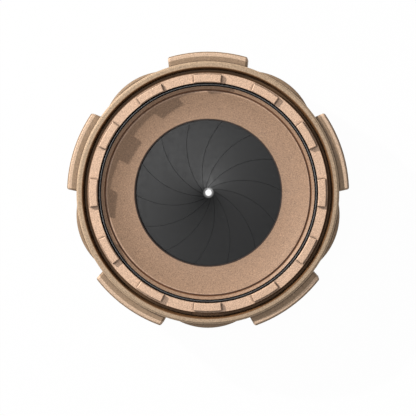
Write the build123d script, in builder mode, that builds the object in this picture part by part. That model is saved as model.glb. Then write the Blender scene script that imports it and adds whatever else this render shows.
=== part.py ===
"""Ring-driven iris diaphragm that pushes on to the front of a lens.

Frame: +Z is the optical axis and points out of the front. The rear face is at z = 0.
The iris is modelled at rest, closed down to its pinhole. Lengths are in millimetres.
"""
from build123d import *
import math
import os

os.makedirs("parts", exist_ok=True)

# ---- optical opening -----------------------------------------------------------------
largest_opening = 23.0
smallest_opening = 1.0
click_opening = 5.66

# ---- running clearances --------------------------------------------------------------
turning_clearance = 0.04
axial_clearance = 0.06
thread_clearance = 0.03
slot_clearance = 0.04
seat_clearance = 0.02

# ---- leaves --------------------------------------------------------------------------
leaf_count = 14
leaf_setback = 0.3
leaf_width = 4.2
leaf_thickness = 0.05
leaf_spacing = 0.095
pivot_inset = 2.4
drive_inset = 0.65
pivot_stud_radius = 0.45
drive_stud_radius = 0.40
pivot_pad_radius = 1.15
drive_pad_radius = 1.05
leaf_corner_radius = 0.5
stud_grip_share = 0.75
span_rise_share = 0.5
first_pivot_angle = 1.2
sheet_half_turn = 130
sheet_rows = 24
sheet_margin = 0.1
sheet_tolerance = 0.003
sheet_degree = 3

leaf_inner_radius = largest_opening / 2 + leaf_setback
leaf_outer_radius = leaf_inner_radius + leaf_width
pivot_circle_radius = leaf_inner_radius + pivot_inset
stud_distance = pivot_circle_radius + leaf_inner_radius + drive_inset

# ---- pivot plate and drive ring ------------------------------------------------------
plate_setback = 0.15
pivot_plate_thickness = 0.8
drive_plate_thickness = 0.6
drive_ring_height = 1.4
drive_rim_width = 0.95
slot_steps = 10

plate_bore_radius = largest_opening / 2 + plate_setback

# ---- barrel --------------------------------------------------------------------------
leaf_room = 0.4
ledge_width = 0.8
ledge_thickness = 0.6
socket_step = 1.4
socket_depth = 5.6
socket_wall = 1.1
tail_wall = 1.6
front_wall = 0.85
front_wall_height = 1.3
flange_width = 1.6
flange_rear = 2.2
flange_thickness = 1.2
small_chamfer = 0.25

chamber_radius = leaf_outer_radius + leaf_room
ledge_radius = chamber_radius - ledge_width
socket_radius = chamber_radius + socket_step
barrel_radius = socket_radius + socket_wall
tail_radius = socket_radius + tail_wall
front_bore_radius = barrel_radius - front_wall
flange_radius = barrel_radius + flange_width

# ---- bezel ---------------------------------------------------------------------------
bezel_edge_thickness = 0.3
bezel_flange_thickness = 0.5
lip_height = 1.15
lip_slope_width = 0.4
lip_slope_drop = 0.2
lip_edge_width = 0.1
lip_groove_width = 0.25
lip_groove_depth = 0.4
dish_edge_width = 0.2
dish_edge_drop = 0.25

# ---- rubber rings --------------------------------------------------------------------
bezel_cord_radius = 0.26
socket_cord_radius = 0.4
socket_ring_height = 2.8
socket_ring_relief = 0.05
damper_cord_radius = 0.32
damper_height = 4.75
groove_side_gap = 0.05
cord_sides = 12

# ---- castellated retaining ring ------------------------------------------------------
castle_ring_width = 1.6
castle_overhang = 0.05
castle_base_thickness = 0.55
castle_relief = 0.6
castle_tab_count = 12
castle_tab_angle = 13.7
castle_tab_inset = 0.35
castle_tab_chamfer = 0.12
castle_seat_gap = 0.08
castle_chamfer = 0.12

castle_outer_radius = barrel_radius + castle_overhang
castle_inner_radius = castle_outer_radius - castle_ring_width
bezel_cord_ring_radius = castle_inner_radius - seat_clearance - bezel_cord_radius
lip_radius = bezel_cord_ring_radius - bezel_cord_radius - seat_clearance

# ---- snap ring -----------------------------------------------------------------------
snap_depth = 0.45
snap_reach = 0.4
snap_thickness = 0.4
snap_gap_angle = 16.0

# ---- grip ring -----------------------------------------------------------------------
grip_height = 7.6
rim_height = 0.8
counterbore_width = 0.5
counterbore_flare = 0.3
counterbore_web = 0.15
rim_width = 0.95
rim_setback = 0.2
lobe_height = 0.8
lobe_curve_radius = 10.25
lobe_fillet = 2.5
lug_height = 1.75
lug_count = 5
lug_half_angle = 16.5
lug_flare_angle = 2.0
first_lug_angle = 18.0
flank_fillet = 0.85
lug_corner_fillet = 0.4
grip_chamfer = 0.3
rim_bevel = 0.3

counterbore_radius = barrel_radius + counterbore_width
rim_radius = counterbore_radius + counterbore_flare + rim_width
valley_radius = rim_radius - rim_setback
lobe_radius = valley_radius + lobe_height
lug_radius = valley_radius + lug_height

# ---- drive screws and click stop -----------------------------------------------------
drive_screw_angles = (18.0, 162.0)
screw_radius = 0.8
dog_radius = 0.5
screw_recess = 0.35
hex_across_corners = 0.85
hex_depth = 0.6
slot_end_margin = 0.5
click_angle = 306.0
click_screw_radius = 1.0
click_ball_radius = 0.6
click_ball_gap = 0.02
click_height = 6.35
click_pocket_depth = 1.5
spring_coil_radius = 0.4
spring_wire_radius = 0.09
spring_turns = 3.0
spring_length = 0.55
wire_sides = 6
notch_depth = 0.2
notch_slope = 45.0

# ---- leaf geometry -------------------------------------------------------------------
# Each leaf is a curved blade. Its pivot stud turns in the pivot plate, and its drive stud
# runs in a slot of the drive ring. The leaf frame has its origin at the centre of the
# blade's arc, as it lies when the iris is open, and the blade runs clockwise from the pivot.
pitch_angle = 360 / leaf_count
leaf_swing = 2 * math.degrees(
    math.asin((leaf_inner_radius - smallest_opening / 2) / (2 * pivot_circle_radius))
)
drive_stud_direction = math.radians(180 + leaf_swing / 2)
drive_stud_x = pivot_circle_radius + stud_distance * math.cos(drive_stud_direction)
drive_stud_y = stud_distance * math.sin(drive_stud_direction)
drive_stud_offset = math.hypot(drive_stud_x, drive_stud_y)
leaf_span = -math.degrees(math.atan2(drive_stud_y, drive_stud_x))
ring_travel = 360 - 2 * leaf_span
leaf_ratio = leaf_swing / ring_travel

# The optical axis of the closed iris, seen from the leaf.
axis_offset = leaf_inner_radius - smallest_opening / 2
axis_angle = leaf_swing / 2 - 90
axis_x = axis_offset * math.cos(math.radians(axis_angle))
axis_y = axis_offset * math.sin(math.radians(axis_angle))


def leaf_rise(x, y):
    """Height of the blade in leaf spacings. It climbs about the axis like a spiral stair."""
    away = math.radians(axis_angle)
    step_x = x - axis_x
    step_y = y - axis_y
    along = step_x * math.cos(away) + step_y * math.sin(away)
    across = step_x * math.sin(away) - step_y * math.cos(away)
    turn = math.degrees(math.atan2(across, along))
    swept = -math.degrees(math.atan2(y, x))
    if swept < -90:
        swept += 360
    return (turn + span_rise_share * (swept - leaf_span / 2)) / pitch_angle


def ray_point(turn, radius):
    """Point of the leaf frame at a radius, seen from the optical axis in one direction."""
    direction = math.radians(axis_angle - turn)
    lean = axis_x * math.cos(direction) + axis_y * math.sin(direction)
    reach = -lean + math.sqrt(lean**2 + radius**2 - axis_offset**2)
    return axis_x + reach * math.cos(direction), axis_y + reach * math.sin(direction)


stack_top = -leaf_rise(leaf_inner_radius, pivot_pad_radius / 2)

# ---- heights along the axis ----------------------------------------------------------
plate_seat = socket_depth + ledge_thickness
plate_top = plate_seat + pivot_plate_thickness
leaf_middle = plate_top + axial_clearance + stack_top * leaf_spacing
drive_bottom = leaf_middle + stack_top * leaf_spacing + leaf_thickness + axial_clearance
drive_plate_top = drive_bottom + drive_plate_thickness
drive_top = drive_bottom + drive_ring_height
bezel_seat = drive_top + axial_clearance
bezel_hub_bottom = drive_plate_top + axial_clearance
bezel_edge_top = bezel_hub_bottom + bezel_edge_thickness
bezel_flange_top = bezel_seat + bezel_flange_thickness
lip_top = bezel_seat + lip_height
dish_top = lip_top - lip_slope_drop - dish_edge_drop
barrel_front = bezel_seat + front_wall_height
castle_base = barrel_front + castle_seat_gap
castle_top = castle_base + castle_base_thickness
flange_front = flange_rear + flange_thickness
grip_rear = flange_front + axial_clearance
grip_shoulder = grip_rear + grip_height
rim_top = grip_shoulder + rim_height
drive_screw_height = (drive_plate_top + drive_top) / 2 - axial_clearance
counterbore_floor = drive_screw_height + screw_radius + counterbore_web
snap_bottom = counterbore_floor + axial_clearance / 2
snap_top = snap_bottom + snap_thickness

# ---- radii that follow from the fits -------------------------------------------------
grip_bore_radius = barrel_radius + turning_clearance
drive_ring_radius = chamber_radius - 2 * turning_clearance
drive_rim_inner_radius = drive_ring_radius - drive_rim_width
slot_half_width = drive_stud_radius + slot_clearance
snap_ring_radius = barrel_radius + snap_reach
bezel_cord_height = bezel_flange_top + bezel_cord_radius


def polar(radius, angle, height=0.0):
    """Point at a radius and an angle about the optical axis."""
    return (
        radius * math.cos(math.radians(angle)),
        radius * math.sin(math.radians(angle)),
        height,
    )


def radial_plane(radius, angle, height):
    """Plane whose normal points straight out from the optical axis."""
    outward = polar(1, angle)
    return Plane(origin=polar(radius, angle, height), x_dir=(-outward[1], outward[0], 0), z_dir=outward)


def turned_profile(angle):
    """Plane through the optical axis at an angle, with its x axis pointing outwards."""
    outward = polar(1, angle)
    return Plane(origin=(0, 0, 0), x_dir=outward, z_dir=(outward[1], -outward[0], 0))


def save(piece, name):
    """Label a finished piece and write it as its own STEP file."""
    piece.label = name
    export_step(piece, f"parts/{name}.step")


def rubber_ring(ring_radius, cord_radius, height):
    """O-ring lying flat about the optical axis."""
    with BuildPart() as ring:
        with BuildSketch(Plane.XZ):
            with Locations((ring_radius, height)):
                RegularPolygon(cord_radius, cord_sides)
        revolve(axis=Axis.Z)
    return ring.part


# ---- barrel --------------------------------------------------------------------------
# The fixed housing. Its rear socket pushes over the lens, the ledge carries the pivot
# plate, the chamber holds the leaves and the drive ring, and the grip ring turns on its
# outside between the rear flange and a snap ring.
damper_ring_radius = grip_bore_radius - turning_clearance / 2 - damper_cord_radius
damper_groove_radius = damper_ring_radius - damper_cord_radius - turning_clearance / 2
damper_groove_width = 2 * (damper_cord_radius + groove_side_gap)
socket_groove_width = 2 * (socket_cord_radius + groove_side_gap)
socket_groove_radius = socket_radius + socket_ring_relief + 2 * socket_cord_radius
snap_groove_radius = barrel_radius - snap_depth
click_leaf_offset = leaf_inner_radius - click_opening / 2
click_leaf_swing = 2 * math.degrees(math.asin(click_leaf_offset / (2 * pivot_circle_radius)))
click_turn = (leaf_swing - click_leaf_swing) / leaf_ratio
notch_radius = math.sqrt(click_ball_radius**2 - (click_ball_radius - notch_depth) ** 2)

with BuildPart() as barrel:
    with BuildSketch(Plane.XZ) as section:
        with BuildLine():
            Polyline(
                (socket_radius, 0),
                (tail_radius, 0),
                (tail_radius, flange_rear),
                (flange_radius, flange_rear),
                (flange_radius, flange_front),
                (barrel_radius, flange_front),
                (barrel_radius, barrel_front),
                (front_bore_radius, barrel_front),
                (front_bore_radius, bezel_seat),
                (chamber_radius, bezel_seat),
                (chamber_radius, plate_seat),
                (ledge_radius, plate_seat),
                (ledge_radius, socket_depth),
                (socket_radius, socket_depth),
                close=True,
            )
        make_face()
        tail_corner = section.vertices().sort_by(Axis.Y)[:2].sort_by(Axis.X)[-1:]
        flange_corners = section.vertices().sort_by(Axis.X)[-2:]
        chamfer(tail_corner + flange_corners, small_chamfer)
    revolve(axis=Axis.Z)
    with BuildSketch(Plane.XZ):
        with Locations((barrel_radius, damper_height)):
            Rectangle(2 * (barrel_radius - damper_groove_radius), damper_groove_width)
        with Locations((barrel_radius, (snap_bottom + snap_top) / 2)):
            Rectangle(2 * snap_depth, snap_thickness + axial_clearance)
        with Locations((socket_radius, socket_ring_height)):
            Rectangle(2 * (socket_groove_radius - socket_radius), socket_groove_width)
    revolve(axis=Axis.Z, mode=Mode.SUBTRACT)
    # A long slot behind each drive screw lets it reach the drive ring inside.
    slot_margin = math.degrees((dog_radius + slot_clearance) / chamber_radius) + slot_end_margin
    for angle in drive_screw_angles:
        with BuildSketch(turned_profile(angle - slot_margin)):
            with Locations(((barrel_radius + chamber_radius) / 2, drive_screw_height)):
                Rectangle(2 * (barrel_radius - chamber_radius), 2 * (dog_radius + slot_clearance))
        revolve(axis=Axis.Z, revolution_arc=ring_travel + 2 * slot_margin, mode=Mode.SUBTRACT)
    # The click ball drops into this notch when the iris stands at one chosen opening.
    with BuildSketch(radial_plane(barrel_radius, click_angle + click_turn, click_height)):
        Circle(notch_radius)
    extrude(amount=-notch_depth, taper=notch_slope, mode=Mode.SUBTRACT)
save(barrel.part, "barrel")

# ---- pivot plate ---------------------------------------------------------------------
with BuildPart() as pivot_plate:
    with BuildSketch(Plane.XY.offset(plate_seat)):
        Circle(chamber_radius - seat_clearance)
        Circle(plate_bore_radius, mode=Mode.SUBTRACT)
        with PolarLocations(pivot_circle_radius, leaf_count, start_angle=first_pivot_angle):
            Circle(pivot_stud_radius + slot_clearance, mode=Mode.SUBTRACT)
    extrude(amount=pivot_plate_thickness)
save(pivot_plate.part, "pivot_plate")

# ---- leaves --------------------------------------------------------------------------
# The interleaved stack is the heart of the iris. Every blade is the same warped strip: it
# rises by one spacing for each neighbour that it passes, so each leaf lies over one
# neighbour and under the other all the way round, and none of them touch.
sheet_rays = []
for row in range(sheet_rows + 1):
    ray_turn = sheet_half_turn * (2 * row / sheet_rows - 1)
    ray = []
    for ray_radius in (
        leaf_inner_radius - sheet_margin,
        (leaf_inner_radius + leaf_outer_radius) / 2,
        leaf_outer_radius + sheet_margin,
    ):
        x, y = ray_point(ray_turn, ray_radius)
        ray.append(Vector(x, y, leaf_middle + leaf_spacing * leaf_rise(x, y)))
    sheet_rays.append(ray)
blade_surface = Face.make_surface_from_array_of_points(
    sheet_rays, tol=sheet_tolerance, min_deg=sheet_degree, max_deg=sheet_degree
)
blade_sheet = extrude(blade_surface, amount=leaf_thickness, dir=(0, 0, 1))

with BuildPart() as blade:
    with BuildSketch(Plane.XY.offset(plate_top)) as outline:
        with BuildLine():
            CenterArc((0, 0), leaf_inner_radius, -leaf_span, leaf_span)
            CenterArc((0, 0), leaf_outer_radius, -leaf_span, leaf_span)
            for end in (0, -leaf_span):
                Line(polar(leaf_inner_radius, end), polar(leaf_outer_radius, end))
        make_face()
        fillet(outline.vertices(), leaf_corner_radius)
        with Locations((pivot_circle_radius, 0)):
            Circle(pivot_pad_radius)
            Circle(pivot_stud_radius, mode=Mode.SUBTRACT)
        with Locations((drive_stud_x, drive_stud_y)):
            Circle(drive_pad_radius)
            Circle(drive_stud_radius, mode=Mode.SUBTRACT)
    extrude(amount=drive_bottom - plate_top)
    add(blade_sheet, mode=Mode.INTERSECT)

pivot_stud_top = leaf_middle + leaf_spacing * leaf_rise(pivot_circle_radius, 0)
pivot_stud_top += stud_grip_share * leaf_thickness
drive_stud_base = leaf_middle + leaf_spacing * leaf_rise(drive_stud_x, drive_stud_y)
drive_stud_base += (1 - stud_grip_share) * leaf_thickness
with BuildPart() as studs:
    with BuildSketch(Plane.XY.offset(pivot_stud_top)):
        with Locations((pivot_circle_radius, 0)):
            Circle(pivot_stud_radius)
    extrude(amount=-(pivot_stud_top - plate_seat - axial_clearance))
    with BuildSketch(Plane.XY.offset(drive_stud_base)):
        with Locations((drive_stud_x, drive_stud_y)):
            Circle(drive_stud_radius)
    extrude(amount=drive_plate_top - axial_clearance - drive_stud_base)

pivot_place = Location((pivot_circle_radius, 0, 0))
closing = pivot_place * Location((0, 0, 0), (0, 0, -leaf_swing)) * pivot_place.inverse()
for number in range(leaf_count):
    place = Location((0, 0, 0), (0, 0, first_pivot_angle + number * pitch_angle)) * closing
    save(blade.part.moved(place), f"leaf_{number + 1:02d}_blade")
    save(studs.part.moved(place), f"leaf_{number + 1:02d}_studs")


# ---- drive ring ----------------------------------------------------------------------
def slot_point(turn):
    """Where a drive stud stands in the drive ring once the ring has turned by an angle."""
    swing = math.radians(turn * leaf_ratio - leaf_swing)
    arm_x = drive_stud_x - pivot_circle_radius
    stud_x = pivot_circle_radius + arm_x * math.cos(swing) - drive_stud_y * math.sin(swing)
    stud_y = arm_x * math.sin(swing) + drive_stud_y * math.cos(swing)
    back = math.radians(-turn)
    return (
        stud_x * math.cos(back) - stud_y * math.sin(back),
        stud_x * math.sin(back) + stud_y * math.cos(back),
    )


def slot_flank(turn):
    """Point of the slot's wall, one half width outside the path of the stud."""
    before_x, before_y = slot_point(turn - leaf_ratio)
    after_x, after_y = slot_point(turn + leaf_ratio)
    step = math.hypot(after_x - before_x, after_y - before_y)
    x, y = slot_point(turn)
    return (
        x - slot_half_width * (after_y - before_y) / step,
        y + slot_half_width * (after_x - before_x) / step,
    )


# Each slot is the path of its stud in the turning ring: in along one flank and back out
# along the other, which keeps leaf and ring in one constant ratio.
slot_wall = [slot_flank(ring_travel * step / slot_steps) for step in range(slot_steps + 1)]
slot_tip = polar(drive_stud_offset + slot_half_width, leaf_span)
with BuildSketch() as stud_slot:
    with BuildLine():
        Spline(slot_wall)
        ThreePointArc(slot_wall[-1], slot_tip, slot_wall[0])
    make_face()

with BuildPart() as drive_ring:
    with BuildSketch(Plane.XZ) as section:
        with BuildLine():
            Polyline(
                (plate_bore_radius, drive_bottom),
                (drive_ring_radius, drive_bottom),
                (drive_ring_radius, drive_top),
                (drive_rim_inner_radius, drive_top),
                (drive_rim_inner_radius, drive_plate_top),
                (plate_bore_radius, drive_plate_top),
                close=True,
            )
        make_face()
    revolve(axis=Axis.Z)
    with BuildSketch(Plane.XY.offset(drive_bottom)):
        with PolarLocations(0, leaf_count, start_angle=first_pivot_angle):
            add(stud_slot.sketch)
    extrude(amount=drive_plate_thickness, mode=Mode.SUBTRACT)
    for angle in drive_screw_angles:
        with BuildSketch(radial_plane(drive_ring_radius, angle, drive_screw_height)):
            Circle(dog_radius + slot_clearance)
        extrude(amount=-drive_rim_width, mode=Mode.SUBTRACT)
save(drive_ring.part, "drive_ring")

# ---- bezel ---------------------------------------------------------------------------
# The dish leads down to the opening. Outside it run a fine groove and a sloping lip, and the
# flange below the lip is clamped in the front of the barrel.
hub_radius = drive_rim_inner_radius - 2 * turning_clearance
lip_slope_radius = lip_radius - lip_slope_width
groove_outer_radius = lip_slope_radius - lip_edge_width
groove_inner_radius = groove_outer_radius - lip_groove_width
lip_edge_top = lip_top - lip_slope_drop

with BuildPart() as bezel:
    with BuildSketch(Plane.XZ) as section:
        with BuildLine():
            Polyline(
                (largest_opening / 2, bezel_hub_bottom),
                (hub_radius, bezel_hub_bottom),
                (hub_radius, bezel_seat),
                (front_bore_radius - seat_clearance, bezel_seat),
                (front_bore_radius - seat_clearance, bezel_flange_top),
                (lip_radius, bezel_flange_top),
                (lip_radius, lip_top),
                (lip_slope_radius, lip_edge_top),
                (groove_outer_radius, lip_edge_top),
                (groove_outer_radius, lip_edge_top - lip_groove_depth),
                (groove_inner_radius, lip_edge_top - lip_groove_depth),
                (groove_inner_radius, dish_top),
                (groove_inner_radius - dish_edge_width, dish_top),
                (largest_opening / 2, bezel_edge_top),
                close=True,
            )
        make_face()
    revolve(axis=Axis.Z)
save(bezel.part, "bezel")

# ---- rubber rings --------------------------------------------------------------------
save(rubber_ring(bezel_cord_ring_radius, bezel_cord_radius, bezel_cord_height), "bezel_o_ring")
socket_cord_ring_radius = socket_groove_radius - socket_cord_radius
save(rubber_ring(socket_cord_ring_radius, socket_cord_radius, socket_ring_height), "socket_o_ring")
save(rubber_ring(damper_ring_radius, damper_cord_radius, damper_height), "damping_o_ring")

# ---- castellated retaining ring ------------------------------------------------------
# It screws into the barrel and clamps the bezel. A pin wrench turns it by the raised tabs.
tab_outer_radius = castle_outer_radius - castle_tab_inset
with BuildSketch() as tab:
    with BuildLine():
        CenterArc((0, 0), castle_inner_radius, -castle_tab_angle / 2, castle_tab_angle)
        CenterArc((0, 0), tab_outer_radius, -castle_tab_angle / 2, castle_tab_angle)
        for side in (-castle_tab_angle / 2, castle_tab_angle / 2):
            Line(polar(castle_inner_radius, side), polar(tab_outer_radius, side))
    make_face()

with BuildPart() as castellated_ring:
    with BuildSketch(Plane.XZ) as section:
        with BuildLine():
            Polyline(
                (castle_inner_radius, bezel_flange_top),
                (front_bore_radius - thread_clearance, bezel_flange_top),
                (front_bore_radius - thread_clearance, castle_base),
                (castle_outer_radius, castle_base),
                (castle_outer_radius, castle_top),
                (castle_inner_radius, castle_top),
                close=True,
            )
        make_face()
        chamfer(section.vertices().sort_by(Axis.Y)[-2:].sort_by(Axis.X)[-1], castle_chamfer)
    revolve(axis=Axis.Z)
    with BuildSketch(Plane.XY.offset(castle_top)):
        with PolarLocations(0, castle_tab_count):
            add(tab.sketch)
    extrude(amount=castle_relief)
    chamfer(castellated_ring.edges().group_by(Axis.Z)[-1], castle_tab_chamfer)
save(castellated_ring.part, "castellated_ring")

# ---- snap ring -----------------------------------------------------------------------
# A split spring ring in the barrel's groove keeps the grip ring from sliding off forwards.
with BuildPart() as snap_ring:
    with BuildSketch(Plane.XY.offset(snap_bottom)):
        Circle(snap_ring_radius)
        Circle(snap_groove_radius + turning_clearance, mode=Mode.SUBTRACT)
        with BuildLine():
            mouth = snap_gap_angle / 2
            reach = 2 * snap_ring_radius - barrel_radius
            Polyline((0, 0), polar(reach, -90 - mouth), polar(reach, -90 + mouth), close=True)
        make_face(mode=Mode.SUBTRACT)
    extrude(amount=snap_thickness)
save(snap_ring.part, "snap_ring")

# ---- grip ring -----------------------------------------------------------------------
lobe_offset = lobe_radius - lobe_curve_radius
lug_foot_radius = valley_radius - lug_height

with BuildSketch() as lug:
    with BuildLine():
        CenterArc((0, 0), lug_radius, -lug_half_angle, 2 * lug_half_angle)
        Polyline(
            polar(lug_radius, lug_half_angle),
            polar(lug_foot_radius, lug_half_angle + lug_flare_angle),
            polar(lug_foot_radius, -lug_half_angle - lug_flare_angle),
            polar(lug_radius, -lug_half_angle),
        )
    make_face()


def turn_from_lug(corner):
    """Angle between a corner of the outline and the middle of the nearest lug."""
    angle = math.degrees(math.atan2(corner.Y, corner.X)) - first_lug_angle
    return abs((angle + 180 / lug_count) % (360 / lug_count) - 180 / lug_count)


with BuildPart() as grip_ring:
    with BuildSketch(Plane.XY.offset(grip_rear)) as grip_outline:
        with PolarLocations(0, 1, start_angle=first_lug_angle):
            Circle(valley_radius)
        with PolarLocations(lobe_offset, lug_count, start_angle=first_lug_angle + 180 / lug_count):
            Circle(lobe_curve_radius)
        lobe_feet = grip_outline.vertices().sort_by(turn_from_lug)[-2 * lug_count :]
        fillet(lobe_feet, lobe_fillet)
        with PolarLocations(0, lug_count, start_angle=first_lug_angle):
            add(lug.sketch)
        lug_corners = grip_outline.vertices().sort_by(turn_from_lug)[: 4 * lug_count]
        lug_corners = lug_corners.sort_by(lambda corner: math.hypot(corner.X, corner.Y))
        fillet(lug_corners[2 * lug_count :], lug_corner_fillet)
        fillet(lug_corners[: 2 * lug_count], flank_fillet)
        Circle(grip_bore_radius, mode=Mode.SUBTRACT)
    extrude(amount=grip_height)
    scalloped_edges = grip_ring.edges().group_by(Axis.Z)
    chamfer(scalloped_edges[-1] + scalloped_edges[0], grip_chamfer)
    with BuildSketch(Plane.XZ):
        with BuildLine():
            Polyline(
                (grip_bore_radius, grip_shoulder - 2 * grip_chamfer),
                (rim_radius, grip_shoulder - 2 * grip_chamfer),
                (rim_radius, rim_top - rim_bevel),
                (rim_radius - rim_bevel, rim_top),
                (grip_bore_radius, rim_top),
                close=True,
            )
        make_face()
    revolve(axis=Axis.Z)
    with BuildSketch(Plane.XZ):
        with BuildLine():
            Polyline(
                (barrel_radius, counterbore_floor),
                (counterbore_radius, counterbore_floor),
                (counterbore_radius + counterbore_flare, rim_top),
                (counterbore_radius + counterbore_flare, rim_top + small_chamfer),
                (barrel_radius, rim_top + small_chamfer),
                close=True,
            )
        make_face()
    revolve(axis=Axis.Z, mode=Mode.SUBTRACT)
    for angle in drive_screw_angles:
        with BuildSketch(radial_plane(barrel_radius, angle, drive_screw_height)):
            Circle(screw_radius + thread_clearance)
        extrude(amount=lug_radius - barrel_radius + small_chamfer, mode=Mode.SUBTRACT)
    with BuildSketch(radial_plane(barrel_radius, click_angle, click_height)):
        Circle(click_ball_radius + turning_clearance)
    extrude(amount=click_pocket_depth, mode=Mode.SUBTRACT)
    with BuildSketch(radial_plane(barrel_radius + click_pocket_depth, click_angle, click_height)):
        Circle(click_screw_radius + thread_clearance)
    extrude(amount=lug_radius - barrel_radius, mode=Mode.SUBTRACT)
save(grip_ring.part, "grip_ring")

# ---- drive screws --------------------------------------------------------------------
# Two dog-point screws sit in the lugs and carry the drive ring round with the grip ring.
screw_head_radius = lug_radius - screw_recess
with BuildPart() as drive_screws:
    for angle in drive_screw_angles:
        with BuildSketch(radial_plane(screw_head_radius, angle, drive_screw_height)):
            Circle(screw_radius)
        extrude(amount=-(screw_head_radius - grip_bore_radius))
        with BuildSketch(radial_plane(grip_bore_radius, angle, drive_screw_height)):
            Circle(dog_radius)
        extrude(amount=-(grip_bore_radius - drive_rim_inner_radius - slot_clearance))
        with BuildSketch(radial_plane(screw_head_radius, angle, drive_screw_height)):
            RegularPolygon(hex_across_corners / 2, 6)
        extrude(amount=-hex_depth, mode=Mode.SUBTRACT)
save(drive_screws.part, "drive_screws")

# ---- click stop ----------------------------------------------------------------------
# A sprung ball in one lug drops into a notch of the barrel at one chosen opening.
ball_centre_radius = barrel_radius + click_ball_gap + click_ball_radius
with BuildPart() as click_ball:
    with Locations(polar(ball_centre_radius, click_angle, click_height)):
        Sphere(click_ball_radius)
save(click_ball.part, "click_ball")

spring_base = ball_centre_radius + click_ball_radius + spring_wire_radius
click_screw_base = spring_base + spring_length + spring_wire_radius + click_ball_gap
click_screw_top = lug_radius - screw_recess
with BuildPart() as click_spring:
    spring_foot = polar(spring_base, click_angle, click_height)
    with BuildLine() as coil:
        Helix(
            spring_length / spring_turns,
            spring_length,
            spring_coil_radius,
            center=spring_foot,
            direction=polar(1, click_angle),
        )
    with BuildSketch(Plane(coil.line @ 0, z_dir=coil.line % 0)):
        RegularPolygon(spring_wire_radius, wire_sides)
    sweep()
save(click_spring.part, "click_spring")

with BuildPart() as click_screw:
    with BuildSketch(radial_plane(click_screw_top, click_angle, click_height)):
        Circle(click_screw_radius)
    extrude(amount=-(click_screw_top - click_screw_base))
    with BuildSketch(radial_plane(click_screw_top, click_angle, click_height)):
        RegularPolygon(hex_across_corners / 2, 6)
    extrude(amount=-hex_depth, mode=Mode.SUBTRACT)
save(click_screw.part, "click_screw")
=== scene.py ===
import bpy
import math
from mathutils import Matrix, Vector


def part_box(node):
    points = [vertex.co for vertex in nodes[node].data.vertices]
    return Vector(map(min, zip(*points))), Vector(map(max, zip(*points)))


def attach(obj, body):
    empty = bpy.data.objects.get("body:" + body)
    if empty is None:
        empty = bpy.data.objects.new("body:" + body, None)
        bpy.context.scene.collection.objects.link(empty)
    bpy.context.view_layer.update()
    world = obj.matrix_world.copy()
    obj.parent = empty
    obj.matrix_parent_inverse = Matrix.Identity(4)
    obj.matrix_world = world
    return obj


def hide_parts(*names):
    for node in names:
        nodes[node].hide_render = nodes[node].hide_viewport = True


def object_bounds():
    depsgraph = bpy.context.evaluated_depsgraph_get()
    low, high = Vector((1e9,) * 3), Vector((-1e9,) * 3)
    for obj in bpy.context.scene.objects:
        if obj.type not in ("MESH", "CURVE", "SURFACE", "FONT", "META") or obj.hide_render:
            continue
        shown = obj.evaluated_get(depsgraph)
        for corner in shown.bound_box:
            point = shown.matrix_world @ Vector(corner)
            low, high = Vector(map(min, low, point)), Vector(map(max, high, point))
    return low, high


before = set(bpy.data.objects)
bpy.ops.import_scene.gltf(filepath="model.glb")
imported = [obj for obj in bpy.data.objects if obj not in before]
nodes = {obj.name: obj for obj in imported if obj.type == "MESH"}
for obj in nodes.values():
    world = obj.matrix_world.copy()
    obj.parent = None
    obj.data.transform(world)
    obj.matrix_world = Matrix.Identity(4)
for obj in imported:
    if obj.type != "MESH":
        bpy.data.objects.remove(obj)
cad_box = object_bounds()


# ---- Studio ---------------------------------------------------------------------------
# The iris lies on a white table. A small hard lamp stands low at the upper left, a round
# softbox hangs overhead on the same side, and a pale room fills the rest.
camera_distance = 0.42
camera_lean_right = math.radians(1.7)
camera_lean_up = math.radians(0.8)
picture_middle = (0.00007, -0.00236)
picture_width = 0.0652
sensor_width = 36.0
look_at = Vector((*picture_middle, cad_box[1].z))

camera_data = bpy.data.cameras.new("camera")
camera = bpy.data.objects.new("camera", camera_data)
bpy.context.collection.objects.link(camera)
bpy.context.scene.camera = camera
toward_camera = Vector((math.sin(camera_lean_right), math.sin(camera_lean_up), 1.0)).normalized()
camera_right = Vector((0.0, 1.0, 0.0)).cross(toward_camera).normalized()
camera_up = toward_camera.cross(camera_right)
camera_turn = Matrix((camera_right, camera_up, toward_camera)).transposed()
camera.location = look_at + toward_camera * camera_distance
camera.rotation_mode = "QUATERNION"
camera.rotation_quaternion = camera_turn.to_quaternion()
camera_data.sensor_width = sensor_width
camera_data.lens = sensor_width * camera_distance / picture_width
camera_data.clip_start = 0.01
camera_data.clip_end = 10.0

key_place = (-0.352, 0.247, 0.256)
key_size = 0.014
key_power = 3.0
key_warm_white = (1.0, 0.985, 0.96)
softbox_spot = (-0.090, 0.006)
softbox_height = 0.5
softbox_size = 0.12
softbox_power = 0.66
softbox_white = (1.0, 1.0, 1.0)


def add_lamp(name, size, power, place, target, colour):
    """A round lamp at a place, pointing at a target."""
    lamp_data = bpy.data.lights.new(name, "AREA")
    lamp_data.shape = "DISK"
    lamp_data.size = size
    lamp_data.energy = power
    lamp_data.color = colour
    lamp = bpy.data.objects.new(name, lamp_data)
    bpy.context.collection.objects.link(lamp)
    lamp.location = Vector(place)
    lamp.rotation_mode = "QUATERNION"
    lamp.rotation_quaternion = (lamp.location - Vector(target)).to_track_quat("Z", "Y")


add_lamp("key_lamp", key_size, key_power, key_place, look_at, key_warm_white)
add_lamp(
    "overhead_softbox",
    softbox_size,
    softbox_power,
    place=(*softbox_spot, softbox_height),
    target=(*softbox_spot, 0.0),
    colour=softbox_white,
)


def feed(tree, socket, value):
    """Give a socket a fixed value or the output of another node."""
    if isinstance(value, bpy.types.NodeSocket):
        tree.links.new(value, socket)
    else:
        socket.default_value = value


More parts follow.
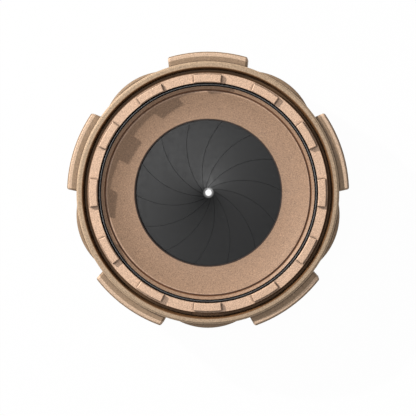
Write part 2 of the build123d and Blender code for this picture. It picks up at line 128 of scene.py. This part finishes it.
def add_node(tree, kind, values=None, **settings):
    """A shader node with its settings made and its sockets fed."""
    node = tree.nodes.new(kind)
    for setting, choice in settings.items():
        setattr(node, setting, choice)
    for socket, value in (values or {}).items():
        feed(tree, node.inputs[socket], value)
    return node


def calculate(tree, operation, *terms, **settings):
    """Result of a math node whose terms are numbers or the outputs of other nodes."""
    values = dict(enumerate(terms))
    return add_node(tree, "ShaderNodeMath", values, operation=operation, **settings).outputs["Value"]


def seen_directly(tree):
    """Mask of the rays that show the background: straight ones, reflections and refractions."""
    path = add_node(tree, "ShaderNodeLightPath").outputs
    mirrored = calculate(tree, "MAXIMUM", path["Is Glossy Ray"], path["Is Transmission Ray"])
    return calculate(tree, "MAXIMUM", path["Is Camera Ray"], mirrored)


room_light_strength = 0.15
room_seen_strength = 1.0
white = (1.0, 1.0, 1.0, 1.0)

world = bpy.data.worlds.new("pale_room")
bpy.context.scene.world = world
world.use_nodes = True
room = world.node_tree
room.nodes.clear()
room_light = add_node(
    room, "ShaderNodeBackground", {"Color": white, "Strength": room_light_strength}
)
room_seen = add_node(
    room, "ShaderNodeBackground", {"Color": white, "Strength": room_seen_strength}
)
room_mix = add_node(
    room,
    "ShaderNodeMixShader",
    {
        "Fac": seen_directly(room),
        1: room_light.outputs["Background"],
        2: room_seen.outputs["Background"],
    },
)
add_node(room, "ShaderNodeOutputWorld", {"Surface": room_mix.outputs["Shader"]})

table_half = 1.2
table_drop = 0.0001
table_glow_share = 0.98
table_grey = (0.82, 0.82, 0.82, 1.0)

table_mesh = bpy.data.meshes.new("table_top")
table_mesh.from_pydata(
    [(x * table_half, y * table_half, -table_drop) for x, y in ((-1, -1), (1, -1), (1, 1), (-1, 1))],
    [],
    [(0, 1, 2, 3)],
)
table_top = bpy.data.objects.new("table_top", table_mesh)
bpy.context.collection.objects.link(table_top)
table_paint = bpy.data.materials.new("white table")
table_paint.use_nodes = True
table = table_paint.node_tree
table.nodes.clear()
table_matt = add_node(table, "ShaderNodeBsdfDiffuse", {"Color": table_grey})
table_glow = add_node(table, "ShaderNodeEmission", {"Color": white, "Strength": 1.0})
table_mix = add_node(
    table,
    "ShaderNodeMixShader",
    {
        "Fac": calculate(table, "MULTIPLY", seen_directly(table), table_glow_share),
        1: table_matt.outputs["BSDF"],
        2: table_glow.outputs["Emission"],
    },
)
add_node(table, "ShaderNodeOutputMaterial", {"Surface": table_mix.outputs["Shader"]})
table_mesh.materials.append(table_paint)


# ---- Barrel ---------------------------------------------------------------------------
# The fixed body that pushes over the lens. It is turned from aluminium bar, bead blasted to
# an even grain and anodised in a tan bronze. Edges are painted lighter, as wear and painted
# highlight, and corners and gaps are painted dark as shade.
grain_scale = 6800.0
grain_depth = 1.9
cloud_scale = 900.0
cloud_depth = 0.2
noise_middle = 0.5
smooth_cloud = 0.3
rough_cloud = 0.7
smoothest_blast = 0.46
roughest_blast = 0.60
blast_metallic = 0.08
blast_specular = 0.3
blast_bump_strength = 0.35
blast_bump_height = 0.00003
bronze_tan = (0.5, 0.35, 0.25, 1.0)
# Colour of the painted shade in corners and gaps.
bronze_painted_shade = (0.05, 0.028, 0.015, 1.0)
edge_match_flat = 0.995
edge_match_sharp = 0.85
corner_open = 0.95
corner_deep = 0.45
band_blur = 0.00006
any_face = -2.0
top_face = 0.3
mix_first_colour = 6
mix_second_colour = 7
mix_colour_result = 2


def calculate_vector(tree, operation, *terms):
    """Result of a vector math node whose terms are vectors or the outputs of other nodes."""
    values = dict(enumerate(terms))
    outputs = add_node(tree, "ShaderNodeVectorMath", values, operation=operation).outputs
    return outputs["Value" if operation in ("LENGTH", "DOT_PRODUCT") else "Vector"]


def rescale(tree, source, low, high, start, end):
    """A value that runs from start to end while the source runs from low to high."""
    values = {"Value": source, "From Min": low, "From Max": high, "To Min": start, "To Max": end}
    return add_node(tree, "ShaderNodeMapRange", values).outputs["Result"]


def add_noise(tree, scale, detail, roughness=0.5):
    """Noise that stays fixed to the piece."""
    place = add_node(tree, "ShaderNodeTexCoord").outputs["Object"]
    values = {"Vector": place, "Scale": scale, "Detail": detail, "Roughness": roughness}
    return add_node(tree, "ShaderNodeTexNoise", values).outputs["Fac"]


def scale_colour(tree, colour, gain):
    """A colour made lighter or darker by a gain."""
    values = {0: colour, "Scale": gain}
    return add_node(tree, "ShaderNodeVectorMath", values, operation="SCALE").outputs["Vector"]


def mix_colours(tree, factor, first, second, blend="MIX"):
    """A colour that goes from the first to the second as the factor rises."""
    values = {"Factor": factor, mix_first_colour: first, mix_second_colour: second}
    mix = add_node(tree, "ShaderNodeMix", values, data_type="RGBA", blend_type=blend)
    return mix.outputs[mix_colour_result]


def radius_from_axis(tree):
    """Distance of the surface from the optical axis."""
    place = add_node(tree, "ShaderNodeNewGeometry").outputs["Position"]
    return calculate_vector(
        tree, "LENGTH", calculate_vector(tree, "MULTIPLY", place, (1.0, 1.0, 0.0))
    )


def make_group(name, inputs, outputs):
    """A shader node group with named sockets, its entry's outputs and its exit's inputs."""
    group = bpy.data.node_groups.new(name, "ShaderNodeTree")
    for label, kind, value in inputs:
        socket = group.interface.new_socket(label, in_out="INPUT", socket_type=kind)
        socket.default_value = value
    for label, kind in outputs:
        group.interface.new_socket(label, in_out="OUTPUT", socket_type=kind)
    entry = add_node(group, "NodeGroupInput").outputs
    way_out = add_node(group, "NodeGroupOutput").inputs
    return group, entry, way_out


def add_group(tree, group, values):
    """The outputs of a node group placed in a material with its own values."""
    return add_node(tree, "ShaderNodeGroup", values, node_tree=group).outputs


blast_group, blast_in, blast_out = make_group(
    "blasted grain",
    [
        ("Colour", "NodeSocketColor", bronze_tan),
        ("Grain Depth", "NodeSocketFloat", grain_depth),
        ("Cloud Depth", "NodeSocketFloat", cloud_depth),
        ("Grain Scale", "NodeSocketFloat", grain_scale),
    ],
    [("Colour", "NodeSocketColor"), ("Grain", "NodeSocketFloat"), ("Roughness", "NodeSocketFloat")],
)
blast_fine = add_noise(blast_group, blast_in["Grain Scale"], detail=2.0, roughness=0.6)
blast_cloud = add_noise(blast_group, cloud_scale, detail=3.0)
blast_gain = 1.0
for noise, depth in ((blast_fine, "Grain Depth"), (blast_cloud, "Cloud Depth")):
    noise_part = calculate(blast_group, "SUBTRACT", noise, noise_middle)
    blast_gain = calculate(blast_group, "MULTIPLY_ADD", noise_part, blast_in[depth], blast_gain)
blast_shade = scale_colour(blast_group, blast_in["Colour"], blast_gain)
blast_rough = rescale(
    blast_group, blast_cloud, smooth_cloud, rough_cloud, smoothest_blast, roughest_blast
)
feed(blast_group, blast_out["Colour"], blast_shade)
feed(blast_group, blast_out["Grain"], blast_fine)
feed(blast_group, blast_out["Roughness"], blast_rough)


# Mask of edges from a bevelled normal, which also rounds the shading. Bronze edges are made lighter with
# it, as wear and painted highlight; leaf edges are painted dark with it, as shade.
edge_group, edge_in, edge_out = make_group(
    "edge mask",
    [("Radius", "NodeSocketFloat", 0.0001), ("Amount", "NodeSocketFloat", 0.6)],
    [("Mask", "NodeSocketFloat"), ("Normal", "NodeSocketVector")],
)
edge_bevel = add_node(edge_group, "ShaderNodeBevel", {"Radius": edge_in["Radius"]}, samples=6)
edge_rounded = edge_bevel.outputs["Normal"]
edge_true = add_node(edge_group, "ShaderNodeNewGeometry").outputs["Normal"]
edge_match = calculate_vector(edge_group, "DOT_PRODUCT", edge_rounded, edge_true)
edge_ramp = rescale(edge_group, edge_match, edge_match_flat, edge_match_sharp, 0.0, 1.0)
feed(edge_group, edge_out["Mask"], calculate(edge_group, "MULTIPLY", edge_ramp, edge_in["Amount"]))
feed(edge_group, edge_out["Normal"], edge_rounded)


# Painted shade: ambient occlusion darkens corners, creases and gaps between parts, where shade falls.
corner_shade_group, corner_shade_in, corner_shade_out = make_group(
    "painted corner shade",
    [("Reach", "NodeSocketFloat", 0.0003), ("Amount", "NodeSocketFloat", 0.8)],
    [("Mask", "NodeSocketFloat")],
)
corner_shade_ao = add_node(
    corner_shade_group, "ShaderNodeAmbientOcclusion", {"Distance": corner_shade_in["Reach"]}, samples=8
)
corner_shade_depth = rescale(corner_shade_group, corner_shade_ao.outputs["AO"], corner_open, corner_deep, 0.0, 1.0)
feed(corner_shade_group, corner_shade_out["Mask"], calculate(corner_shade_group, "MULTIPLY", corner_shade_depth, corner_shade_in["Amount"]))


# Mask of a ring round the optical axis, used to paint light and shade in rings.
band_group, band_in, band_out = make_group(
    "radial band",
    [
        ("Inner", "NodeSocketFloat", 0.019),
        ("Outer", "NodeSocketFloat", 0.020),
        ("Blur", "NodeSocketFloat", band_blur),
        ("Least Rise", "NodeSocketFloat", any_face),
    ],
    [("Mask", "NodeSocketFloat")],
)
band_radius = radius_from_axis(band_group)
band_past_inner = calculate(band_group, "SUBTRACT", band_radius, band_in["Inner"])
band_short_of_outer = calculate(band_group, "SUBTRACT", band_in["Outer"], band_radius)
band_nearest = calculate(band_group, "MINIMUM", band_past_inner, band_short_of_outer)
band_fade = calculate(band_group, "DIVIDE", band_nearest, band_in["Blur"], use_clamp=True)
band_normal = add_node(band_group, "ShaderNodeNewGeometry").outputs["Normal"]
band_rise = add_node(band_group, "ShaderNodeSeparateXYZ", {"Vector": band_normal}).outputs["Z"]
band_faces = calculate(band_group, "GREATER_THAN", band_rise, band_in["Least Rise"])
feed(band_group, band_out["Mask"], calculate(band_group, "MULTIPLY", band_fade, band_faces))


def new_finish(name, metallic, specular):
    """A new material, its node tree and the inputs of its shader."""
    finish = bpy.data.materials.new(name)
    finish.use_nodes = True
    shader = finish.node_tree.nodes["Principled BSDF"]
    shader.inputs["Metallic"].default_value = metallic
    shader.inputs["Specular IOR Level"].default_value = specular
    return finish, finish.node_tree, shader.inputs


def blasted_metal(
    name, colour, edge_colour, edge_radius, edge_amount, shade_reach, shade_amount, bands=()
):
    """Bead-blasted, anodised aluminium with edges painted lighter (wear and painted highlight), painted
    shade in corners and round bands of painted light and shade.
    """
    metal, tree, shader = new_finish(name, blast_metallic, blast_specular)
    grain = add_group(tree, blast_group, {"Colour": colour})
    wear_and_highlight = add_group(tree, edge_group, {"Radius": edge_radius, "Amount": edge_amount})
    corner_shade = add_group(tree, corner_shade_group, {"Reach": shade_reach, "Amount": shade_amount})
    # Edges lighter as wear and painted highlight; corners and gaps darker as painted shade.
    shade = mix_colours(tree, wear_and_highlight["Mask"], grain["Colour"], edge_colour)
    shade = mix_colours(tree, corner_shade["Mask"], shade, bronze_painted_shade)
    # Each band multiplies in a painted highlight or painted shade.
    for (inner, outer), least_rise, tint in bands:
        edges = {"Inner": inner, "Outer": outer, "Least Rise": least_rise}
        band = add_group(tree, band_group, edges)
        shade = mix_colours(tree, band["Mask"], shade, tint, blend="MULTIPLY")
    bump = add_node(
        tree,
        "ShaderNodeBump",
        {
            "Strength": blast_bump_strength,
            "Distance": blast_bump_height,
            "Height": grain["Grain"],
            "Normal": wear_and_highlight["Normal"],
        },
    )
    feed(tree, shader["Base Color"], shade)
    feed(tree, shader["Roughness"], grain["Roughness"])
    feed(tree, shader["Normal"], bump.outputs["Normal"])
    return metal


def dress(node, material):
    """Give a piece of the iris its finish."""
    for material_slot in nodes[node].material_slots:
        material_slot.material = material


dress(
    "barrel",
    blasted_metal(
        "bronze barrel",
        colour=(0.34, 0.235, 0.155, 1.0),
        edge_colour=(0.58, 0.41, 0.29, 1.0),
        edge_radius=0.00010,
        edge_amount=0.5,
        shade_reach=0.0005,
        shade_amount=0.7,
    ),
)


# ---- Pivot plate and drive ring -------------------------------------------------------
# The two rings that hold the leaves by their studs. Both are aluminium, anodised matt
# black so that they throw no stray light into the lens.
noise_low = 0.25
noise_high = 0.75
polish_spread = 0.04


def fine_finish(name, colour, roughness, metallic, specular, grain_scale, depth):
    """Smooth metal or rubber whose shade and polish vary a little over the surface."""
    finish, tree, shader = new_finish(name, metallic, specular)
    noise = add_noise(tree, grain_scale, detail=4.0)
    gain = rescale(tree, noise, noise_low, noise_high, 1.0 - depth, 1.0 + depth)
    smoothest = roughness - polish_spread
    roughest = roughness + polish_spread
    feed(tree, shader["Base Color"], scale_colour(tree, colour, gain))
    feed(tree, shader["Roughness"], rescale(tree, noise, noise_low, noise_high, smoothest, roughest))
    return finish


ring_black = fine_finish(
    "black anodised ring",
    colour=(0.018, 0.018, 0.02),
    roughness=0.55,
    metallic=0.2,
    specular=0.4,
    grain_scale=2500.0,
    depth=0.15,
)
dress("pivot_plate", ring_black)
dress("drive_ring", ring_black)


# ---- Leaves ---------------------------------------------------------------------------
# Fourteen curved blades punched from thin spring steel and chemically blackened, each with
# two small turned studs riveted in. Their edges are painted dark as shade between the stacked
# blades, and a painted glow lightens the tips round the closed opening.
edge_shade_width = 0.00016
edge_shade_black = (0.002, 0.002, 0.002, 1.0)
glow_reach = (-0.001, 0.0009)
glow_blur = 0.0004
painted_glow_grey = (0.30, 0.30, 0.30, 1.0)
leaf_flattening = (0.45, 0.45, 1.0)


def source_of(socket):
    """The output that feeds a socket."""
    return socket.links[0].from_socket


def bend_normal(tree, normal, stretch):
    """A normal stretched or flattened along each axis."""
    return calculate_vector(
        tree, "NORMALIZE", calculate_vector(tree, "MULTIPLY", normal, stretch)
    )


leaf_black = fine_finish(
    "blackened leaf steel",
    colour=(0.006, 0.0062, 0.0066),
    roughness=0.24,
    metallic=0.0,
    specular=0.13,
    grain_scale=1500.0,
    depth=0.05,
)
leaf_tree = leaf_black.node_tree
leaf_shader = leaf_tree.nodes["Principled BSDF"].inputs
leaf_edge_shade = add_group(leaf_tree, edge_group, {"Radius": edge_shade_width, "Amount": 1.0})
leaf_glow = add_group(
    leaf_tree, band_group, {"Inner": glow_reach[0], "Outer": glow_reach[1], "Blur": glow_blur}
)
leaf_shade = source_of(leaf_shader["Base Color"])
# Painted shade: blade edges go near black, so they show as dark lines between the leaves.
leaf_shade = mix_colours(leaf_tree, leaf_edge_shade["Mask"], leaf_shade, edge_shade_black)
# Painted glow: a grey ring round the pinhole in the middle of the closed opening.
leaf_shade = mix_colours(leaf_tree, leaf_glow["Mask"], leaf_shade, painted_glow_grey)
leaf_normal = add_node(leaf_tree, "ShaderNodeNewGeometry").outputs["Normal"]
feed(leaf_tree, leaf_shader["Base Color"], leaf_shade)
# The painted edge shade also makes the edges metallic, which darkens their reflection too.
feed(leaf_tree, leaf_shader["Metallic"], leaf_edge_shade["Mask"])
feed(leaf_tree, leaf_shader["Normal"], bend_normal(leaf_tree, leaf_normal, leaf_flattening))

stud_brass = fine_finish(
    "darkened stud brass",
    colour=(0.10, 0.075, 0.04),
    roughness=0.4,
    metallic=0.8,
    specular=0.5,
    grain_scale=2500.0,
    depth=0.15,
)
for node in nodes:
    if node.startswith("leaf_"):
        dress(node, leaf_black if node.endswith("_blade") else stud_brass)


# ---- Bezel ----------------------------------------------------------------------------
# The dished front plate with the clear opening, turned from the same bar as the barrel. The
# dish leads the eye to the leaves, and the stepped lip round it keeps the rubber ring in.
# Painted light and shade in rings: shadow round the opening, a highlight on the dish's crest and shade
# in the lip's groove.
opening_edge = (0.01120, 0.01172)
opening_shade_tint = (0.06, 0.04, 0.03, 1.0)
dish_crest = (0.01584, 0.01604)
dish_crest_highlight = (1.35, 1.4, 1.5, 1.0)
lip_groove = (0.01604, 0.01636)
lip_groove_shade = (0.62, 0.37, 0.17, 1.0)
dish_inner_radius = 0.0118
dish_outer_radius = 0.0155
dish_inner_stretch = 0.2
dish_outer_stretch = 1.25

bezel_bronze = blasted_metal(
    "bronze bezel",
    colour=(0.345, 0.216, 0.14, 1.0),
    edge_colour=(0.52, 0.355, 0.245, 1.0),
    edge_radius=0.00007,
    edge_amount=0.5,
    shade_reach=0.0003,
    shade_amount=0.8,
    bands=(
        (opening_edge, any_face, opening_shade_tint),
        (dish_crest, any_face, dish_crest_highlight),
        (lip_groove, any_face, lip_groove_shade),
    ),
)
dish_tree = bezel_bronze.node_tree
dish_bump = dish_tree.nodes["Bump"].inputs
dish_slope = rescale(
    dish_tree,
    radius_from_axis(dish_tree),
    dish_inner_radius,
    dish_outer_radius,
    dish_inner_stretch,
    dish_outer_stretch,
)
dish_stretch = add_node(
    dish_tree, "ShaderNodeCombineXYZ", {"X": dish_slope, "Y": dish_slope, "Z": 1.0}
)
dish_normal = bend_normal(dish_tree, source_of(dish_bump["Normal"]), dish_stretch.outputs["Vector"])
feed(dish_tree, dish_bump["Normal"], dish_normal)
dress("bezel", bezel_bronze)


# ---- Castellated ring -----------------------------------------------------------------
# The threaded ring that clamps the bezel, turned and milled from the same bar. A pin wrench
# turns it by its twelve raised tabs. Edges are painted lighter, as wear and painted highlight,
# and its foot outside the tabs is painted dark as shade.
ring_foot = (0.01879, 0.01920)
ring_foot_shade = (0.16, 0.11, 0.065, 1.0)

dress(
    "castellated_ring",
    blasted_metal(
        "bronze castellated ring",
        colour=(0.64, 0.43, 0.30, 1.0),
        edge_colour=(0.80, 0.59, 0.44, 1.0),
        edge_radius=0.00006,
        edge_amount=0.5,
        shade_reach=0.0005,
        shade_amount=1.0,
        bands=((ring_foot, any_face, ring_foot_shade),),
    ),
)


# ---- Grip ring ------------------------------------------------------------------------
# The outer ring that the fingers turn, milled from the same bar with lugs and shallow lobes.
# It slides over the barrel from the front. The well between the two is painted shade, and
# the rings on its rim and lugs are painted highlights and painted shade.
# Painted shade in the well, painted highlights on the crests and painted shade in the hollow and the lug
# outline.
well = (0.01900, 0.01986)
well_shade = (0.40, 0.27, 0.16, 1.0)
rim_crest = (0.02050, 0.02064)
rim_crest_highlight = (1.35, 1.35, 1.35, 1.0)
rim_hollow = (0.02064, 0.02148)
rim_hollow_shade = (0.70, 0.66, 0.63, 1.0)
lug_crest = (0.02146, 0.02206)
lug_crest_highlight = (1.45, 1.45, 1.55, 1.0)
lug_border = (0.02204, 0.02217)
lug_border_shade = (0.30, 0.20, 0.115, 1.0)

dress(
    "grip_ring",
    blasted_metal(
        "bronze grip ring",
        colour=(0.41, 0.29, 0.19, 1.0),
        edge_colour=(0.60, 0.44, 0.32, 1.0),
        edge_radius=0.00010,
        edge_amount=0.6,
        shade_reach=0.0004,
        shade_amount=0.6,
        bands=(
            (well, any_face, well_shade),
            (rim_crest, top_face, rim_crest_highlight),
            (rim_hollow, top_face, rim_hollow_shade),
            (lug_crest, top_face, lug_crest_highlight),
            (lug_border, top_face, lug_border_shade),
        ),
    ),
)


# ---- Rubber rings ---------------------------------------------------------------------
# Moulded nitrile cord rings with a dull gloss. One seals the bezel, one gives the grip ring
# its drag and one holds the iris on the lens.
ring_steps = 240
cord_steps = 20
rubber = fine_finish(
    "nitrile rubber",
    colour=(0.010, 0.010, 0.011),
    roughness=0.3,
    metallic=0.0,
    specular=0.5,
    grain_scale=3000.0,
    depth=0.2,
)


def round_ring(name, middle, ring_radius, cord_radius):
    """The mesh of a smooth ring of round cord that lies flat."""
    corners = []
    faces = []
    for ring_step in range(ring_steps):
        turn = 2 * math.pi * ring_step / ring_steps
        here = ring_step * cord_steps
        ahead = (ring_step + 1) % ring_steps * cord_steps
        for cord_step in range(cord_steps):
            roll = 2 * math.pi * cord_step / cord_steps
            reach = ring_radius + cord_radius * math.cos(roll)
            beside = (cord_step + 1) % cord_steps
            corners.append(
                (
                    middle.x + reach * math.cos(turn),
                    middle.y + reach * math.sin(turn),
                    middle.z + cord_radius * math.sin(roll),
                )
            )
            faces.append((here + cord_step, ahead + cord_step, ahead + beside, here + beside))
    ring_mesh = bpy.data.meshes.new(name)
    ring_mesh.from_pydata(corners, [], faces)
    ring_mesh.polygons.foreach_set("use_smooth", [True] * len(faces))
    return ring_mesh


for node in ("bezel_o_ring", "socket_o_ring", "damping_o_ring"):
    lowest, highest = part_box(node)
    cord_radius = (highest.z - lowest.z) / 2
    ring_radius = (highest.x - lowest.x) / 2 - cord_radius
    ring_mesh = round_ring(f"{node}_round", (lowest + highest) / 2, ring_radius, cord_radius)
    ring_mesh.materials.append(rubber)
    rubber_ring = bpy.data.objects.new(f"{node}_round", ring_mesh)
    bpy.context.collection.objects.link(rubber_ring)
    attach(rubber_ring, "housing")
    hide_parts(node)


# ---- Snap ring, screws and click stop -------------------------------------------------
# Small steel parts. The browned snap ring keeps the grip ring on the barrel, the blackened
# screws join it to the drive ring, and the ball and spring that mark one opening stay bright.
browned_steel = fine_finish(
    "browned spring steel",
    colour=(0.085, 0.045, 0.02),
    roughness=0.55,
    metallic=0.2,
    specular=0.2,
    grain_scale=3000.0,
    depth=0.2,
)
screw_black = fine_finish(
    "black oxide steel",
    colour=(0.03, 0.03, 0.032),
    roughness=0.35,
    metallic=0.9,
    specular=0.5,
    grain_scale=3000.0,
    depth=0.15,
)
bright_steel = fine_finish(
    "bright spring steel",
    colour=(0.45, 0.45, 0.47),
    roughness=0.28,
    metallic=1.0,
    specular=0.5,
    grain_scale=3000.0,
    depth=0.1,
)
dress("snap_ring", browned_steel)
for node in ("drive_screws", "click_screw"):
    dress(node, screw_black)
for node in ("click_ball", "click_spring"):
    dress(node, bright_steel)


# ---- Finish ---------------------------------------------------------------------------
bpy.context.scene.view_settings.view_transform = "Standard"
